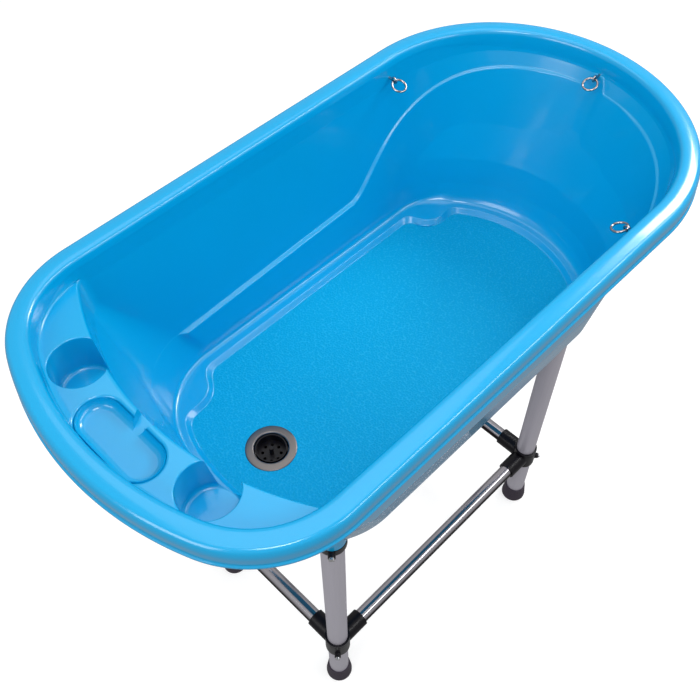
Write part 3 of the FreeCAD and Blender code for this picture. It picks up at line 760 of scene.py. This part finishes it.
def satin_tube():
    """Drawn aluminium tube, with fine lines along it."""
    material, tree, shader = new_material("leg_satin", Metallic=0.4, Specular_IOR_Level=0.5)
    lines = texture(tree, "ShaderNodeTexNoise", (1, 1, 0.01), Scale=900.0, Detail=2.0)
    colour_by(tree, shader, lines, (0.50, 0.48, 0.55), (0.60, 0.58, 0.65))
    roughen_by(tree, shader, lines, 0.3, 0.46)
    return material


def bar_chrome():
    """Bright plated tube, with painted shade: its colour turns near black along its underside, a
    painted dark reflection.
    """
    material, tree, shader = new_material("bar_plating_painted_shade", Metallic=1.0)
    geometry = tree.nodes.new("ShaderNodeNewGeometry")
    split = tree.nodes.new("ShaderNodeSeparateXYZ")
    tree.links.new(geometry.outputs["Normal"], split.inputs["Vector"])
    # painted shade: sides that face down get a near-black colour, standing in for the dark
    # reflection from below
    painted_shade_fade = spread_over(tree, split.outputs["Z"], 0, 1, floor=0.4, ceiling=0.62)
    colour_by(tree, shader, painted_shade_fade, (0.012, 0.01, 0.012), (0.52, 0.50, 0.54))
    haze = texture(tree, "ShaderNodeTexNoise", Scale=60.0, Detail=4.0)
    roughen_by(tree, shader, haze, 0.07, 0.2)
    return material


def plated(name, colour, low, high):
    """Plated or machined metal with an uneven polish, between two roughnesses."""
    material, tree, shader = new_material(name, Metallic=1.0)
    haze = texture(tree, "ShaderNodeTexNoise", Scale=140.0, Detail=3.0)
    dim = tuple(0.9 * part for part in colour)
    colour_by(tree, shader, haze, dim, colour)
    roughen_by(tree, shader, haze, low, high)
    return material


def matt(name, colour, roughness, grain, height):
    """Moulded plastic or rubber with a fine grain of this scale and height in metres."""
    material, tree, shader = new_material(name, Roughness=roughness, Specular_IOR_Level=0.25)
    grains = texture(tree, "ShaderNodeTexNoise", Scale=grain, Detail=2.0)
    bright = tuple(1.5 * part for part in colour)
    colour_by(tree, shader, grains, colour, bright)
    raise_by(tree, shader, grains, height)
    return material


# the finish of each material slot
FINISHES = {
    "flange_steel": plated("flange_finish", (0.19, 0.175, 0.17), 0.32, 0.4),
    "black_plastic": matt("black_finish", (0.0035, 0.003, 0.005), 0.3, 900.0, 0.0001),
    "gasket_rubber": matt("gasket_finish", (0.03, 0.03, 0.03), 0.7, 700.0, 0.0002),
    "ring_chrome": plated("ring_finish", (0.42, 0.40, 0.40), 0.05, 0.14),
    "screw_steel": plated("screw_finish", (0.62, 0.62, 0.64), 0.18, 0.35),
    "leg_aluminium": satin_tube(),
    "bar_chrome": bar_chrome(),
    "foot_rubber": matt("foot_finish", (0.035, 0.027, 0.04), 0.55, 380.0, 0.0006),
}


# ---------------------------------------------------------------- the drain's flange

# radius, and height above the panel: the dome from its outer foot to its inner edge, the
# bright bevel, and the neck's bore with the seat that carries the strainer
FLANGE_DOME = ((33.5, 0), (47.3, 0), (47.5, 0.4), (47.2, 0.9), (46.4, 1.3), (44, 1.7), (40, 2.1),
               (36, 2.4), (34, 2.5), (33.2, 2.3))
FLANGE_BORE = ((31.9, 1.2), (31, -0.5), (31, -19), (27, -19), (27, -21), (31, -21))
NECK_INSIDE, NECK_OUTSIDE = 31, 33.5
# radius at the thread's root, height of its first crest, pitch, and number of crests
THREAD_ROOT, THREAD_START, THREAD_PITCH, THREAD_TURNS = 32.6, -12, 2.4, 10
FLANGE_ROUND = 120
FLANGE_SHARP = math.radians(35)


def make_flange():
    """A softly domed ring, a bright bevel and the threaded neck below."""
    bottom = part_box("drain_flange")[0].z / MM
    level = RIM_TOP - PANEL_DEPTH
    profile = [(radius, level + height) for radius, height in FLANGE_DOME + FLANGE_BORE]
    profile += [(NECK_INSIDE, bottom), (NECK_OUTSIDE, bottom)]
    for turn in reversed(range(THREAD_TURNS)):
        crest = level + THREAD_START - THREAD_PITCH * turn
        profile += [(THREAD_ROOT, crest - THREAD_PITCH / 2), (NECK_OUTSIDE, crest)]
    build = bmesh.new()
    rows = [circle(DRAIN.x, DRAIN.y, radius, RIM_TOP - height, FLANGE_ROUND)
            for radius, height in profile]
    add_band(build, rows + rows[:1])
    bmesh.ops.remove_doubles(build, verts=build.verts, dist=WELD)
    bmesh.ops.recalc_face_normals(build, faces=build.faces)
    flange = mesh_object("drain_ring", build)
    flange.data.set_sharp_from_angle(angle=FLANGE_SHARP)
    flange.data.materials.append(FINISHES["flange_steel"])
    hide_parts("drain_flange")
    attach(flange, "tub_and_stand")


tub = make_tub()
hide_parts("tub_shell")
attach(tub, "tub_and_stand")
make_flange()
for name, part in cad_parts.items():
    if name != "tub_shell":
        part.data.materials[0] = FINISHES[part.data.materials[0].name]


# ---------------------------------------------------------------- floor, light and camera

# name, width and height in metres, watts, place; all aim at the middle of the tub
LIGHTS = (
    ("overhead", (2.6, 2.6), 24, (0.3, 0.5, 4.0)),
    ("left_key", (2.0, 2.0), 55, (-3.6, -0.2, 3.0)),
    ("side_strip", (3.2, 0.35), 32, (1.3, -2.0, 2.8)),
    ("front_box", (1.0, 0.6), 26, (-1.1, -1.2, 4.0)),
    ("head_box", (0.9, 0.9), 50, (2.8, -0.1, 3.2)),
)
AIM = Vector((0, 0, 0.9))
WHITE = (1, 1, 1, 1)
FLOOR_SIZE = 20000  # millimetres, from the middle to each side

# the camera stands off the right side of the drain end and looks down on the tub
CAMERA_PLACE = Vector((-0.7734, -0.68506, 2.1698))
AZIMUTH, ELEVATION, ROLL = math.radians(-44.611), math.radians(53.375), math.radians(-0.806)
LENS, SENSOR = 45.6, 36


def make_floor():
    """A white floor that the object doesn't reflect."""
    build = bmesh.new()
    bmesh.ops.create_grid(build, x_segments=4, y_segments=4, size=FLOOR_SIZE)
    floor = mesh_object("studio_floor", build)
    material, _, _ = new_material("studio_floor", Base_Color=(0.45, 0.45, 0.45, 1),
                                  Roughness=0.9, Emission_Color=WHITE,
                                  Emission_Strength=0.65)
    floor.data.materials.append(material)
    floor.visible_glossy = False
    floor.visible_diffuse = False


def make_world():
    """Soft light, dimmer from below, behind a backdrop that is plain white where it is seen."""
    world = bpy.data.worlds.new("studio")
    bpy.context.scene.world = world
    world.use_nodes = True
    tree = world.node_tree
    place = tree.nodes.new("ShaderNodeTexCoord")
    split = tree.nodes.new("ShaderNodeSeparateXYZ")
    tree.links.new(place.outputs["Generated"], split.inputs["Vector"])
    strength = spread_over(tree, split.outputs["Z"], 0.35, 0.5, floor=-0.1, ceiling=0.35)
    seen = tree.nodes.new("ShaderNodeLightPath").outputs["Is Camera Ray"]
    backdrop = tree.nodes.new("ShaderNodeMath")
    backdrop.operation = "MAXIMUM"
    tree.links.new(seen, backdrop.inputs[0])
    tree.links.new(strength, backdrop.inputs[1])
    tree.links.new(backdrop.outputs[0], tree.nodes["Background"].inputs["Strength"])
    tree.nodes["Background"].inputs["Color"].default_value = WHITE


def make_light(name, size, power, place):
    """A rectangular lamp."""
    data = bpy.data.lights.new(name, "AREA")
    data.shape = "RECTANGLE"
    data.size, data.size_y = size
    data.energy = power
    light = bpy.data.objects.new(name, data)
    bpy.context.scene.collection.objects.link(light)
    light.location = place
    light.rotation_euler = (AIM - Vector(place)).to_track_quat("-Z", "Y").to_euler()


def make_camera():
    """The camera, turned by its azimuth and elevation about the tub, and rolled a little."""
    back = Vector((math.sin(AZIMUTH) * math.cos(ELEVATION),
                   -math.cos(AZIMUTH) * math.cos(ELEVATION), math.sin(ELEVATION)))
    right = (-back).cross(Vector((0, 0, 1))).normalized()
    up = right.cross(-back)
    side = right * math.cos(ROLL) + up * math.sin(ROLL)
    top = up * math.cos(ROLL) - right * math.sin(ROLL)
    data = bpy.data.cameras.new("camera")
    data.sensor_width = SENSOR
    data.lens = LENS
    camera = bpy.data.objects.new("camera", data)
    bpy.context.scene.collection.objects.link(camera)
    turn = Matrix((side, top, back)).transposed().to_4x4()
    camera.matrix_world = Matrix.Translation(CAMERA_PLACE) @ turn
    bpy.context.scene.camera = camera


make_floor()
make_world()
for light in LIGHTS:
    make_light(*light)
make_camera()
bpy.context.scene.view_settings.view_transform = "Standard"
